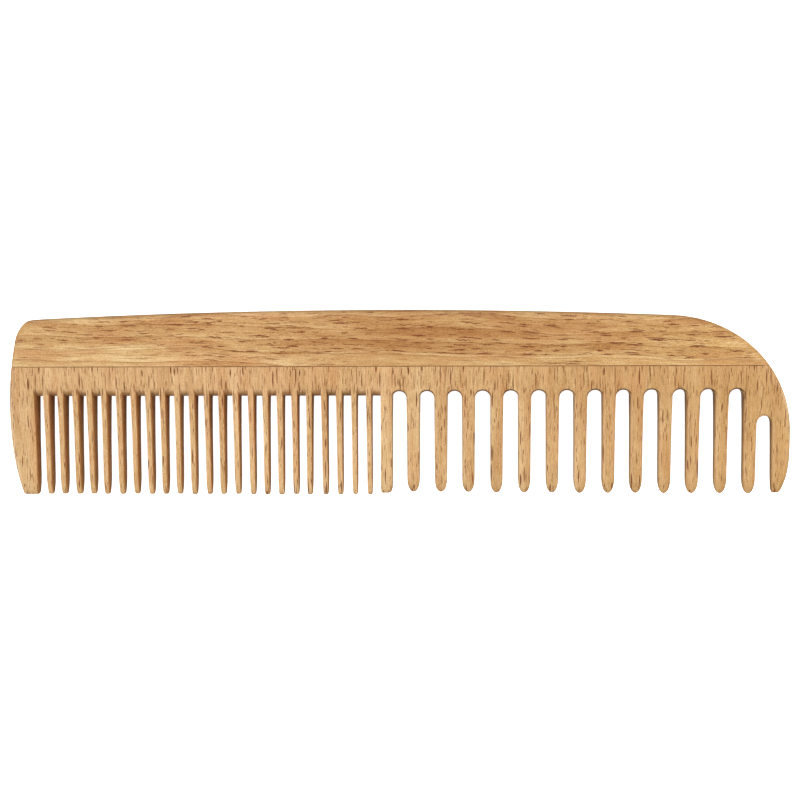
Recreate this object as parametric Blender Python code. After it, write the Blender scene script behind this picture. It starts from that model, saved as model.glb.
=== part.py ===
"""Beard comb: a beech spine glued over a beech tooth plate with a full-length tongue and groove.

The comb lies on its back. X runs along its length, +Y points from the tooth tips to the spine
and +Z is up, through the thickness. The origin is in the middle of the comb's footprint, on the
surface it lies on. The three pieces are cut from one rounded blank, as the real comb is glued
first and shaped afterwards.
"""
import math

import bmesh
import bpy
from mathutils import Matrix
from mathutils.geometry import interpolate_bezier

MM = 0.001

# Overall size, in millimetres like every other dimension here.
LENGTH = 180.0
WIDTH = 42.85
BODY_THICKNESS = 6.5
EDGE_ROUNDING = 1.6
EDGE_ROUNDING_STEPS = 3

# Outline, measured from the middle of the comb.
RIGHT_X = LENGTH / 2
TOP_Y = WIDTH / 2
TIP_Y = -WIDTH / 2
CROWN_X = -4.8
CROWN_RADIUS = 1620.0
LEFT_WIDEST_Y = -4.0
LEFT_RADIUS_ABOVE = 100.0
LEFT_RADIUS_BELOW = 60.0
CORNER_X = -87.4
CORNER_END_Y = 14.6
CORNER_START_X = -84.4
SHOULDER_X = 63.4
SHOULDER_BASE_Y = -5.96
SHOULDER_POWER = 2.09
GUARD_TOE_IN = 2.65
GUARD_TOE_POWER = 3.4

# Glue joint between the spine and the tooth plate.
JOINT_Y = 8.7
TONGUE_HEIGHT = 5.0
TONGUE_THICKNESS = 2.2
WOOD_GAP = 0.3
GLUE_FILM = 0.2

# Thickness of the tooth plate below the joint.
TAPER_START_Y = 8.0
TAPER_END_Y = -12.0
NOSE_START_Y = -16.7
TOOTH_THICKNESS = 4.2
NOSE_THICKNESS = 4.0
TIP_THICKNESS = 0.7
TAPER_BANDS = 5
NOSE_BANDS = 4

# Fine teeth: straight saw cuts with a rounded ridge at their roots.
FINE_CUTS = 24
FINE_PITCH = 3.409
FIRST_FINE_TOOTH_X = -81.06
LAST_FINE_CUT_X = -4.33
FINE_GAP_AT_ROOT = 2.2
FINE_GAP_AT_TIP = 2.3
FINE_ROOT_Y = 1.68
FINE_ROOT_DROP = 2.2
FINE_ROOT_STEPS = 8

# Wide teeth: round-ended slots between teeth with rounded tips.
WIDE_TEETH = 13
WIDE_PITCH = 6.388
FIRST_WIDE_TOOTH_X = 4.16
WIDE_TOOTH_AT_ROOT = 3.03
WIDE_TOOTH_AT_NOSE = 2.84
WIDE_SLOT_TOP_Y = 2.9
WIDE_SLOT_RISE = 0.4
SHORT_SLOT_TOP_Y = -2.85
WIDE_NOSE_START_Y = -17.5
WIDE_TIP_Y = -20.9
WIDE_NOSE_POWER = 2.3
WIDE_NOSE_STEPS = 5
SLOT_ARC_STEPS = 10
MIDDLE_TOOTH_TIP_Y = -20.95
MIDDLE_TOOTH_CORNER = 1.05
GUARD_TIP_Y = -20.72
GUARD_CORNER = 0.6

CUTTER_MARGIN = 1.5
HALF_BODY = BODY_THICKNESS / 2
RAIL_TO_WORLD = Matrix(((0, 0, 1, 0), (1, 0, 0, 0), (0, 1, 0, 0), (0, 0, 0, 1)))

# Linear base colours of the oiled beech and the cured glue.
SPINE_COLOR = (0.57, 0.31, 0.13, 1.0)
PLATE_COLOR = (0.64, 0.39, 0.18, 1.0)
GLUE_COLOR = (0.30, 0.16, 0.05, 1.0)


def clear_scene():
    for old in list(bpy.data.objects):
        bpy.data.objects.remove(old, do_unlink=True)


def new_collection(name):
    collection = bpy.data.collections.new(name)
    bpy.context.scene.collection.children.link(collection)
    return collection


def blend_between(start, end, amount):
    return start + (end - start) * amount


# ---------------------------------------------------------------- outline curves

def crown_y(x):
    return TOP_Y - (x - CROWN_X) ** 2 / (2 * CROWN_RADIUS)


def left_edge_x(y):
    radius = LEFT_RADIUS_ABOVE if y > LEFT_WIDEST_Y else LEFT_RADIUS_BELOW
    return -LENGTH / 2 + (y - LEFT_WIDEST_Y) ** 2 / (2 * radius)


def left_edge():
    heights = (TIP_Y, -17.0, -12.0, -7.0, LEFT_WIDEST_Y, 3.0, 8.0, 11.5)
    return [(left_edge_x(y), y) for y in heights]


def top_left_corner():
    start = (left_edge_x(CORNER_END_Y), CORNER_END_Y)
    corner = (CORNER_X, crown_y(CORNER_X))
    end = (CORNER_START_X, crown_y(CORNER_START_X))
    round_handle = 0.5523
    handles = [[blend_between(point[axis], corner[axis], round_handle) for axis in (0, 1)]
               for point in (start, end)]
    return [tuple(point) for point in interpolate_bezier(start, handles[0], handles[1], end, 7)]


def crown(steps=11):
    return [(x, crown_y(x)) for x in
            (blend_between(CORNER_START_X, SHOULDER_X, step / steps) for step in range(1, steps))]


def shoulder(steps=16):
    """Superellipse that starts on the crown and ends upright at the widest point of the right end."""
    reach = RIGHT_X - SHOULDER_X
    rise = crown_y(SHOULDER_X) - SHOULDER_BASE_Y
    points = []
    for step in range(steps + 1):
        angle = math.radians(90) * (1 - step / steps)
        x = SHOULDER_X + reach * math.cos(angle) ** (2 / SHOULDER_POWER)
        y = SHOULDER_BASE_Y + rise * math.sin(angle) ** (2 / SHOULDER_POWER)
        points.append((x, y + crown_y(x) - crown_y(SHOULDER_X)))
    return points


def guard_outer_edge(top_y, steps=6):
    points = []
    for step in range(1, steps + 1):
        share = step / steps
        points.append((RIGHT_X - GUARD_TOE_IN * share ** GUARD_TOE_POWER,
                       blend_between(top_y, TIP_Y, share)))
    return points


def comb_outline():
    right_end = shoulder()
    return (left_edge() + top_left_corner() + crown() + right_end
            + guard_outer_edge(right_end[-1][1]))


# ---------------------------------------------------------------- mesh helpers

def extruded(name, points, half_depth, collection, to_world=None):
    """A closed prism, in metres, from a flat outline in millimetres."""
    curve = bpy.data.curves.new(name, "CURVE")
    curve.dimensions = "2D"
    curve.fill_mode = "BOTH"
    curve.extrude = half_depth
    spline = curve.splines.new("POLY")
    spline.points.add(len(points) - 1)
    for spot, (x, y) in zip(spline.points, points):
        spot.co = (x, y, 0, 1)
    spline.use_cyclic_u = True
    source = bpy.data.objects.new(name + "_curve", curve)
    collection.objects.link(source)
    bpy.context.view_layer.update()
    mesh = bpy.data.meshes.new_from_object(source.evaluated_get(bpy.context.evaluated_depsgraph_get()))
    bpy.data.objects.remove(source)
    bpy.data.curves.remove(curve)
    mesh.materials.clear()
    if to_world:
        mesh.transform(to_world)
    mesh.transform(Matrix.Scale(MM, 4))
    form = bmesh.new()
    form.from_mesh(mesh)
    bmesh.ops.remove_doubles(form, verts=form.verts, dist=0.001 * MM)
    bmesh.ops.dissolve_limit(form, angle_limit=math.radians(0.1), verts=form.verts, edges=form.edges)
    bmesh.ops.recalc_face_normals(form, faces=form.faces)
    form.to_mesh(mesh)
    form.free()
    prism = bpy.data.objects.new(name, mesh)
    collection.objects.link(prism)
    return prism


def hide_as_guide(guide):
    guide.hide_render = True
    guide.display_type = "WIRE"


def apply_boolean(body, operation, cutter=None, cutters=None):
    """Cut the body for good, because the taper that follows moves the cut mesh's points."""
    cut = body.modifiers.new(operation.lower(), "BOOLEAN")
    cut.operation = operation
    cut.solver = "EXACT"
    if cutters:
        cut.operand_type = "COLLECTION"
        cut.collection = cutters
    else:
        cut.object = cutter
    bpy.context.view_layer.update()
    result = bpy.data.meshes.new_from_object(body.evaluated_get(bpy.context.evaluated_depsgraph_get()))
    body.modifiers.clear()
    body.data = result


# ---------------------------------------------------------------- blank and joint

def rounded_blank(collection):
    """The whole comb before it is cut: every edge of its outline rounded, except at the tips."""
    blank = extruded("blank", comb_outline(), HALF_BODY, collection)
    form = bmesh.new()
    form.from_mesh(blank.data)
    rims = [edge for edge in form.edges
            if len(edge.link_faces) == 2
            and edge.calc_face_angle() > math.radians(60)
            and abs(edge.verts[0].co.z - edge.verts[1].co.z) < 0.01 * MM
            and max(vert.co.y for vert in edge.verts) > (TIP_Y + 0.01) * MM]
    bmesh.ops.bevel(form, geom=rims, offset=EDGE_ROUNDING * MM, offset_type="OFFSET",
                    segments=EDGE_ROUNDING_STEPS, profile=0.5, affect="EDGES", clamp_overlap=True)
    form.to_mesh(blank.data)
    form.free()
    return blank


def stepped_line(offset):
    """The joint's path across the thickness, as (y, z) points, moved towards the spine."""
    outside = HALF_BODY + CUTTER_MARGIN
    flank = TONGUE_THICKNESS / 2 + offset
    shoulder_y = JOINT_Y + offset
    crest_y = JOINT_Y + TONGUE_HEIGHT + offset
    return [(shoulder_y, -outside), (shoulder_y, -flank), (crest_y, -flank),
            (crest_y, flank), (shoulder_y, flank), (shoulder_y, outside)]


def rail(name, profile, collection):
    """A long straight moulding along X with the given (y, z) section."""
    return extruded(name, profile, LENGTH / 2 + CUTTER_MARGIN, collection, RAIL_TO_WORLD)


def end_caps(y):
    outside = HALF_BODY + CUTTER_MARGIN
    return [(y, outside), (y, -outside)]


def spine_rail(collection):
    return rail("spine_rail", stepped_line(WOOD_GAP / 2) + end_caps(TOP_Y + CUTTER_MARGIN), collection)


def plate_rail(collection):
    return rail("plate_rail", stepped_line(-WOOD_GAP / 2) + end_caps(TIP_Y - CUTTER_MARGIN), collection)


def glue_rail(collection):
    film = stepped_line(GLUE_FILM / 2) + list(reversed(stepped_line(-GLUE_FILM / 2)))
    return rail("glue_rail", film, collection)


def piece_of_blank(name, blank, section, collection):
    piece = bpy.data.objects.new(name, blank.data.copy())
    collection.objects.link(piece)
    apply_boolean(piece, "INTERSECT", cutter=section)
    return piece


# ---------------------------------------------------------------- teeth

def fine_gap(y):
    share = (FINE_ROOT_Y - y) / (FINE_ROOT_Y - TIP_Y)
    return blend_between(FINE_GAP_AT_ROOT, FINE_GAP_AT_TIP, share)


def saw_cutter_mesh(collection):
    """One saw cut. Its upper end is hollow, so it leaves a ridge across the middle of the root."""
    outside = HALF_BODY + CUTTER_MARGIN
    top_y = FINE_ROOT_Y + FINE_ROOT_DROP
    profile = [(TIP_Y - CUTTER_MARGIN, -outside), (top_y, -outside)]
    for step in range(FINE_ROOT_STEPS + 1):
        angle = math.radians(180) * step / FINE_ROOT_STEPS
        profile.append((top_y - FINE_ROOT_DROP * math.sin(angle), -HALF_BODY * math.cos(angle)))
    profile += [(top_y, outside), (TIP_Y - CUTTER_MARGIN, outside)]
    cutter = extruded("saw_cut", profile, 1.0, collection, RAIL_TO_WORLD)
    mesh = cutter.data
    for vert in mesh.vertices:
        vert.co.x *= fine_gap(vert.co.y / MM) / 2
    bpy.data.objects.remove(cutter)
    return mesh


def saw_cut_centres():
    """The cuts lie midway between the teeth; the last one is placed by the middle tooth."""
    first = FIRST_FINE_TOOTH_X - FINE_PITCH / 2
    return [first + FINE_PITCH * cut for cut in range(FINE_CUTS - 1)] + [LAST_FINE_CUT_X]


def add_saw_cutters(collection):
    mesh = saw_cutter_mesh(collection)
    for number, x in enumerate(saw_cut_centres()):
        cutter = bpy.data.objects.new(f"saw_cut_{number + 1:02d}", mesh)
        cutter.location.x = x * MM
        collection.objects.link(cutter)
        hide_as_guide(cutter)


def wide_half_width(y):
    """Half the width of a wide tooth: a slow taper, then a rounded nose."""
    share = min(1.0, (WIDE_SLOT_TOP_Y - y) / (WIDE_SLOT_TOP_Y - WIDE_NOSE_START_Y))
    half = blend_between(WIDE_TOOTH_AT_ROOT, WIDE_TOOTH_AT_NOSE, share) / 2
    if y >= WIDE_NOSE_START_Y:
        return half
    reach = min(1.0, (WIDE_NOSE_START_Y - y) / (WIDE_NOSE_START_Y - WIDE_TIP_Y))
    return half * (1 - reach ** WIDE_NOSE_POWER) ** (1 / WIDE_NOSE_POWER)


def wide_nose_side(centre, side):
    """Points down one side of a wide tooth, from where its slot is straight to its tip."""
    points = [(centre + side * wide_half_width(WIDE_NOSE_START_Y), WIDE_NOSE_START_Y)]
    for step in range(1, WIDE_NOSE_STEPS + 1):
        reach = math.sin(math.radians(90) * step / WIDE_NOSE_STEPS)
        y = blend_between(WIDE_NOSE_START_Y, WIDE_TIP_Y, reach)
        points.append((centre + side * wide_half_width(y), y))
    return points


def slot_top(left_x, right_x, top_y):
    """Half circle over a slot, from its left wall to its right wall."""
    radius = (right_x - left_x) / 2
    middle = (left_x + right_x) / 2
    points = []
    for step in range(SLOT_ARC_STEPS + 1):
        angle = math.radians(180) * (1 - step / SLOT_ARC_STEPS)
        points.append((middle + radius * math.cos(angle), top_y - radius + radius * math.sin(angle)))
    return points


def slot_top_y(slot):
    if slot == WIDE_TEETH:
        return SHORT_SLOT_TOP_Y
    return WIDE_SLOT_TOP_Y + WIDE_SLOT_RISE * slot / (WIDE_TEETH - 1)


def quarter_round(centre, radius, start_degrees, end_degrees, steps=4):
    points = []
    for step in range(steps + 1):
        angle = math.radians(blend_between(start_degrees, end_degrees, step / steps))
        points.append((centre[0] + radius * math.cos(angle), centre[1] + radius * math.sin(angle)))
    return points


def wide_cutter_outline():
    """Everything between and below the wide teeth, as one outline from left to right."""
    floor_y = TIP_Y - CUTTER_MARGIN
    root_half = WIDE_TOOTH_AT_ROOT / 2
    slot_half = WIDE_PITCH / 2 - root_half
    middle_tooth_x = FIRST_WIDE_TOOTH_X - root_half - 2 * slot_half
    guard_x = FIRST_WIDE_TOOTH_X + WIDE_PITCH * (WIDE_TEETH - 1) + root_half + 2 * slot_half
    points = [(LAST_FINE_CUT_X, floor_y), (LAST_FINE_CUT_X, MIDDLE_TOOTH_TIP_Y)]
    corner = (middle_tooth_x - MIDDLE_TOOTH_CORNER, MIDDLE_TOOTH_TIP_Y + MIDDLE_TOOTH_CORNER)
    points += quarter_round(corner, MIDDLE_TOOTH_CORNER, -90, 0)
    for slot in range(WIDE_TEETH + 1):
        tooth_left = FIRST_WIDE_TOOTH_X + WIDE_PITCH * (slot - 1)
        tooth_right = FIRST_WIDE_TOOTH_X + WIDE_PITCH * slot
        left_wall = tooth_left + root_half if slot > 0 else middle_tooth_x
        right_wall = tooth_right - root_half if slot < WIDE_TEETH else guard_x
        points += slot_top(left_wall, right_wall, slot_top_y(slot))
        if slot < WIDE_TEETH:
            points += wide_nose_side(tooth_right, -1)
            points += list(reversed(wide_nose_side(tooth_right, 1)))[1:]
    points += quarter_round((guard_x + GUARD_CORNER, GUARD_TIP_Y + GUARD_CORNER), GUARD_CORNER, 180, 270)
    points += [(RIGHT_X, GUARD_TIP_Y), (RIGHT_X, floor_y)]
    return points


# ---------------------------------------------------------------- taper

def half_thickness(y):
    """Half the thickness at a height: flat body, smooth taper, slim teeth, rounded nose."""
    if y >= TAPER_START_Y:
        return HALF_BODY
    if y >= TAPER_END_Y:
        share = (y - TAPER_END_Y) / (TAPER_START_Y - TAPER_END_Y)
        return blend_between(TOOTH_THICKNESS / 2, HALF_BODY, share * share * (3 - 2 * share))
    if y >= NOSE_START_Y:
        share = (TAPER_END_Y - y) / (TAPER_END_Y - NOSE_START_Y)
        return blend_between(TOOTH_THICKNESS / 2, NOSE_THICKNESS / 2, share)
    reach = min(1.0, (NOSE_START_Y - y) / (NOSE_START_Y - TIP_Y))
    return max(TIP_THICKNESS / 2, NOSE_THICKNESS / 2 * math.sqrt(1 - reach * reach))


def taper_stations():
    """Heights at which the taper changes slope, from the joint down to the tips."""
    body = [blend_between(TAPER_START_Y, TAPER_END_Y, band / TAPER_BANDS) for band in range(TAPER_BANDS + 1)]
    nose = [blend_between(NOSE_START_Y, TIP_Y, math.sin(math.radians(90) * band / NOSE_BANDS))
            for band in range(NOSE_BANDS + 1)]
    return body + nose


def thickness_share(y, stations):
    """Half thickness relative to the body, straight between stations so that faces stay flat."""
    if y >= stations[0]:
        return 1.0
    for upper, lower in zip(stations, stations[1:]):
        if y >= lower:
            share = (upper - y) / (upper - lower)
            return blend_between(half_thickness(upper), half_thickness(lower), share) / HALF_BODY
    return half_thickness(stations[-1]) / HALF_BODY


def taper(piece):
    stations = taper_stations()
    form = bmesh.new()
    form.from_mesh(piece.data)
    for y in stations[:-1]:
        geometry = form.verts[:] + form.edges[:] + form.faces[:]
        bmesh.ops.bisect_plane(form, geom=geometry, dist=0.0001 * MM,
                               plane_co=(0, y * MM, 0), plane_no=(0, 1, 0))
    for vert in form.verts:
        vert.co.z *= thickness_share(vert.co.y / MM, stations)
    form.to_mesh(piece.data)
    form.free()


# ---------------------------------------------------------------- finishing

def make_material(name, color, roughness):
    material = bpy.data.materials.new(name)
    material.use_nodes = True
    shader = material.node_tree.nodes["Principled BSDF"]
    shader.inputs["Base Color"].default_value = color
    shader.inputs["Roughness"].default_value = roughness
    shader.inputs["Metallic"].default_value = 0.0
    return material


def finish_piece(piece, frame, color, roughness):
    piece.data.materials.clear()
    piece.data.materials.append(make_material(piece.name, color, roughness))
    piece.data.shade_smooth()
    piece.data.set_sharp_from_angle(angle=math.radians(30))
    piece.parent = frame


def build():
    clear_scene()
    comb = new_collection("beard_comb")
    guides = new_collection("cutters")
    saw_cuts = new_collection("saw_cutters")

    frame = bpy.data.objects.new("comb_middle_plane", None)
    frame.location.z = HALF_BODY * MM
    comb.objects.link(frame)

    blank = rounded_blank(guides)
    sections = [spine_rail(guides), plate_rail(guides), glue_rail(guides)]
    spine = piece_of_blank("spine", blank, sections[0], comb)
    plate = piece_of_blank("tooth_plate", blank, sections[1], comb)
    glue = piece_of_blank("glue_line", blank, sections[2], comb)

    add_saw_cutters(saw_cuts)
    wide_cutter = extruded("wide_cut", wide_cutter_outline(), HALF_BODY + CUTTER_MARGIN, guides)
    apply_boolean(plate, "DIFFERENCE", cutters=saw_cuts)
    apply_boolean(plate, "DIFFERENCE", cutter=wide_cutter)
    taper(plate)

    for guide in (blank, wide_cutter, *sections):
        hide_as_guide(guide)
    finish_piece(spine, frame, SPINE_COLOR, 0.55)
    finish_piece(plate, frame, PLATE_COLOR, 0.55)
    finish_piece(glue, frame, GLUE_COLOR, 0.45)
    bpy.context.view_layer.update()


build()
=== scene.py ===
import math
import random
from collections import namedtuple

import bmesh
import bpy
import numpy as np
from mathutils import Matrix, Vector
from mathutils.geometry import delaunay_2d_cdt, interpolate_bezier


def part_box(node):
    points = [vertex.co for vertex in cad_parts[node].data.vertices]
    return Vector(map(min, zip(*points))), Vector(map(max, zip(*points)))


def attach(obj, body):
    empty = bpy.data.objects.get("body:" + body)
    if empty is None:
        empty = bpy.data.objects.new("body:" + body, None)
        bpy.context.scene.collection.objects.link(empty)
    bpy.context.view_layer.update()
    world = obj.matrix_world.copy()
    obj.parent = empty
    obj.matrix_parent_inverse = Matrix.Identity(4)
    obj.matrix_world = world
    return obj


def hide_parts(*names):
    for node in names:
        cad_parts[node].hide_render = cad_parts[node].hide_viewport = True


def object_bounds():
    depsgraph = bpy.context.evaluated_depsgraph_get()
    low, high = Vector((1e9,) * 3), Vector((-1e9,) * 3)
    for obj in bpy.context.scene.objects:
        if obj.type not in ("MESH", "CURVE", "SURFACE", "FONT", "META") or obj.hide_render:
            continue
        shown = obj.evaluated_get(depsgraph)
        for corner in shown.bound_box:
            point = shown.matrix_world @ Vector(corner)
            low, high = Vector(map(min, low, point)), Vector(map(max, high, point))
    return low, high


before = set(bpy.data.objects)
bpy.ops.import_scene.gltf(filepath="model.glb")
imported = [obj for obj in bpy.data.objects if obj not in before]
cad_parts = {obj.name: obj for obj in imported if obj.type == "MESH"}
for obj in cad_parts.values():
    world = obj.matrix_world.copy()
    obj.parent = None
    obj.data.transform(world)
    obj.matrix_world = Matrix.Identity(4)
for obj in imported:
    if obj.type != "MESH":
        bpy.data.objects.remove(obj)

MM = 0.001
CAD_LOW, CAD_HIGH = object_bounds()
GLUE_LOW, GLUE_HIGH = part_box("glue_line")

# Sizes that come from the frame.
LEFT_X = CAD_LOW.x / MM
RIGHT_X = CAD_HIGH.x / MM
TOP_Y = CAD_HIGH.y / MM
TIP_Y = CAD_LOW.y / MM
HALF_BODY = (CAD_HIGH.z - CAD_LOW.z) / 2 / MM
MIDDLE_Z = (CAD_HIGH.z + CAD_LOW.z) / 2
CAD_GLUE_FILM = 0.2
JOINT_Y = GLUE_LOW.y / MM + CAD_GLUE_FILM / 2
CREST_Y = GLUE_HIGH.y / MM - CAD_GLUE_FILM / 2

# Outline.
CROWN_X = -4.8
CROWN_RADIUS = 1620.0
LEFT_WIDEST_Y = -4.0
LEFT_RADIUS_ABOVE = 100.0
LEFT_RADIUS_BELOW = 60.0
CORNER_X = -87.4
CORNER_END_Y = 14.6
CORNER_START_X = -84.4
ROUND_HANDLE = 0.5523
SHOULDER_X = 63.4
SHOULDER_BASE_Y = -5.96
SHOULDER_POWER = 2.075
GUARD_TOE_IN = 2.65
GUARD_TOE_POWER = 3.4

# Edges and joint. A rounding takes at most these shares of the piece's width and thickness.
CROWN_ROUNDING = 2.0
CROWN_ROUNDING_DROP = 3.0
END_ROUNDING = 1.4
WIDTH_SHARE = 0.42
THICKNESS_SHARE = 0.8
TONGUE_THICKNESS = 2.2
WOOD_GAP = 0.22
GLUE_FILM = 0.2
GLUE_RECESS = 0.03

# How far the pieces reach before the joint is cut, and how far the cutting bars reach past them.
CLEAR = 2.0
OUTSIDE = HALF_BODY + CLEAR
BAR_REACH = RIGHT_X + 3.0
BLANK_TOP_Y = CREST_Y + 0.6
SPINE_BLANK_Y = JOINT_Y - 1.0
GLUE_REACH = 1.5

# Thickness of the plate below the joint.
TAPER_START_Y = 8.0
TAPER_END_Y = -12.0
TOOTH_HALF = 2.1
TOOTH_END_HALF = 2.0
TIP_HALF = 0.42
NOSE_LENGTH = 4.6

# Fine teeth. A tooth's corner, at its tip, is a width and a height.
FINE_TEETH = 23
FINE_PITCH = 3.409
FIRST_FINE_X = -81.06
FINE_WIDTH_AT_ROOT = 1.2
FINE_WIDTH_AT_TIP = 1.1
FINE_TIP_Y = -21.32
FINE_ROOT_Y = 1.68
FINE_ROOT_DROP = 2.2
FINE_EDGE = 0.16
FINE_FLARE = 0.05
FINE_FLARE_LENGTH = 1.2
FINE_CORNER = (0.28, 0.42)
FINE_PLACE_SPREAD = 0.05
FINE_LEAN_SPREAD = 0.07
FINE_SIZE_SPREAD = 0.035
FINE_TIP_SPREAD = 0.04
ROOT_FACE_Y = FINE_ROOT_Y + FINE_ROOT_DROP

# Wide teeth.
WIDE_TEETH = 13
WIDE_PITCH = 6.388
FIRST_WIDE_X = 4.16
WIDE_WIDTH_AT_ROOT = 3.03
WIDE_WIDTH_AT_NOSE = 2.84
WIDE_SLOT_TOP_Y = 2.9
WIDE_SLOT_RISE = 0.4
SHORT_SLOT_TOP_Y = -2.85
WIDE_NOSE_START_Y = -17.5
WIDE_NOSE_POWER = 2.3
WIDE_TIP_Y = -20.9
FIRST_TIP_RISE = 0.3
TIP_RISE_TEETH = 1.5
WIDE_LEAN = 0.004
WIDE_EDGE = 0.95
SLOT_EDGE = 0.6
EDGE_CHANGE_LENGTH = 5.0
WIDE_PLACE_SPREAD = 0.04
WIDE_TIP_SPREAD = 0.05

# Guards at the two ends, and the tooth in the middle.
GUARD_INNER_X = -83.86
GUARD_CORNER = (0.35, 0.5)
LEFT_GUARD_ROOT_Y = 0.0
MIDDLE_LEFT_X = -3.23
MIDDLE_RIGHT_X = -0.64
MIDDLE_TIP_Y = -20.95
MIDDLE_LEFT_CORNER = (0.15, 0.3)
MIDDLE_RIGHT_CORNER = (0.85, 1.9)
RIGHT_GUARD_INNER_X = 85.7
RIGHT_GUARD_TIP_Y = -20.72
RIGHT_GUARD_ROOT_Y = -9.0
RIGHT_GUARD_INNER_CORNER = (0.5, 1.2)
RIGHT_GUARD_OUTER_CORNER = (0.4, 0.6)
GUARD_LEAN = 0.008

# How finely the meshes are made.
WALL_RINGS = 3
ROUND_RINGS = 5
RINGS = WALL_RINGS + ROUND_RINGS
TOOTH_SPACING = 1.5
NOSE_STEPS = 6
NOSE_CLEARANCE = 0.5
CORNER_STEPS = 5
CORNER_POWER = 2.3
ROOT_STEPS = 7
ROOT_ACROSS = 5
ARC_STEPS = 16
LEFT_END_STEPS = 9
SPINE_LEFT_STEPS = 6
GLUE_STEPS = 8
PLATE_SPACING = 1.5
PLATE_MARGIN = 0.8
SPINE_SPACING = 2.5
SPINE_MARGIN = 1.5
SAME_POINT = 2e-4

chance = random.Random(7)


def between(start, end, share):
    return start + (end - start) * share


def limited(share):
    return min(1.0, max(0.0, share))


# ---------------------------------------------------------------- outline curves

def crown_y(x):
    return TOP_Y - (x - CROWN_X) ** 2 / (2 * CROWN_RADIUS)


def left_edge_x(y):
    radius = LEFT_RADIUS_ABOVE if y > LEFT_WIDEST_Y else LEFT_RADIUS_BELOW
    return LEFT_X + (y - LEFT_WIDEST_Y) ** 2 / (2 * radius)


def top_left_corner(steps=14):
    start = (left_edge_x(CORNER_END_Y), CORNER_END_Y)
    corner = (CORNER_X, crown_y(CORNER_X))
    end = (CORNER_START_X, crown_y(CORNER_START_X))
    handles = [[between(point[axis], corner[axis], ROUND_HANDLE) for axis in (0, 1)]
               for point in (start, end)]
    return [tuple(p)[:2] for p in interpolate_bezier(start, handles[0], handles[1], end, steps)]


def crown(steps=50):
    return [(x, crown_y(x)) for x in
            (between(CORNER_START_X, SHOULDER_X, step / steps) for step in range(1, steps))]


def shoulder(steps=48):
    """Superellipse from the crown to the upright, widest point of the right end."""
    reach = RIGHT_X - SHOULDER_X
    rise = crown_y(SHOULDER_X) - SHOULDER_BASE_Y
    points = []
    for step in range(steps + 1):
        angle = math.radians(90) * (1 - step / steps)
        x = SHOULDER_X + reach * math.cos(angle) ** (2 / SHOULDER_POWER)
        y = SHOULDER_BASE_Y + rise * math.sin(angle) ** (2 / SHOULDER_POWER)
        points.append((x, y + crown_y(x) - crown_y(SHOULDER_X)))
    return points


def right_edge_x(y, rounds=8):
    """The right end's outline as a width at each height: the shoulder, then the guard's toe.

    The shoulder also falls with the crown as X grows, so its X is found in a few rounds.
    """
    toe_top = shoulder()[-1][1]
    if y < toe_top:
        return RIGHT_X - GUARD_TOE_IN * ((toe_top - y) / (toe_top - TIP_Y)) ** GUARD_TOE_POWER
    reach = RIGHT_X - SHOULDER_X
    rise = crown_y(SHOULDER_X) - SHOULDER_BASE_Y
    x = RIGHT_X
    for _ in range(rounds):
        share = limited((y - crown_y(x) + crown_y(SHOULDER_X) - SHOULDER_BASE_Y) / rise)
        x = SHOULDER_X + reach * (1 - share ** SHOULDER_POWER) ** (1 / SHOULDER_POWER)
    return x


# ---------------------------------------------------------------- thickness

def half_thickness(y, tip_y=TIP_Y):
    """Half the comb's thickness: flat body, smooth taper, slim teeth and a rounded nose."""
    if y >= TAPER_START_Y:
        return HALF_BODY
    if y >= TAPER_END_Y:
        share = (y - TAPER_END_Y) / (TAPER_START_Y - TAPER_END_Y)
        return between(TOOTH_HALF, HALF_BODY, share * share * (3 - 2 * share))
    nose_y = tip_y + NOSE_LENGTH
    down = min(1.0, (TAPER_END_Y - y) / (TAPER_END_Y - nose_y))
    half = between(TOOTH_HALF, TOOTH_END_HALF, down)
    if y >= nose_y:
        return half
    reach = min(1.0, (nose_y - y) / NOSE_LENGTH)
    blunt = (TIP_HALF / TOOTH_END_HALF) ** 2
    return half * math.sqrt(1 - reach * reach * (1 - blunt))


# ---------------------------------------------------------------- columns

class Column:
    """One upright line of points on the comb's side, from the middle plane up over the edge.

    It stands at (x, y), starts at base_z, and bends inwards along (dx, dy) with a rounding that
    reaches plan inwards and deep downwards.
    """

    def __init__(self, x, y, dx, dy, plan, deep, tip_y=TIP_Y, base_z=0.0):
        self.x, self.y, self.dx, self.dy = x, y, dx, dy
        self.tip_y = tip_y
        self.base_z = base_z
        self.drop = 0.0
        room = max(0.0, half_thickness(y, tip_y) - base_z)
        self.deep = min(deep, THICKNESS_SHARE * room)
        self.plan = plan * self.deep / deep

    def ring(self):
        wall_top = half_thickness(self.y, self.tip_y) - self.drop - self.deep
        points = []
        for level in range(WALL_RINGS):
            z = between(self.base_z, wall_top, level / (WALL_RINGS - 1))
            points.append((self.x, self.y, z))
        for level in range(1, ROUND_RINGS + 1):
            angle = math.radians(90) * level / ROUND_RINGS
            inwards = self.plan * (1 - math.cos(angle))
            x = self.x + self.dx * inwards
            y = self.y + self.dy * inwards
            top = half_thickness(y, self.tip_y) - self.drop
            points.append((x, y, top - self.deep * (1 - math.sin(angle))))
        return points


def columns_along(points, rounding):
    """Columns along an outline that has the piece on its left, bent inwards square to it."""
    columns = []
    last = len(points) - 1
    for i, (x, y) in enumerate(points):
        before = points[max(0, i - 1)]
        after = points[min(last, i + 1)]
        along = Vector((after[0] - before[0], after[1] - before[1])).normalized()
        edge = rounding(y)
        columns.append(Column(x, y, -along.y, along.x, edge, edge))
    return columns


# One side of a tooth: its X at a height, the (width, height) of its corner at the tip, and the
# rounding of its edge at a height.
Side = namedtuple("Side", "x_at corner edge_at")


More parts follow.
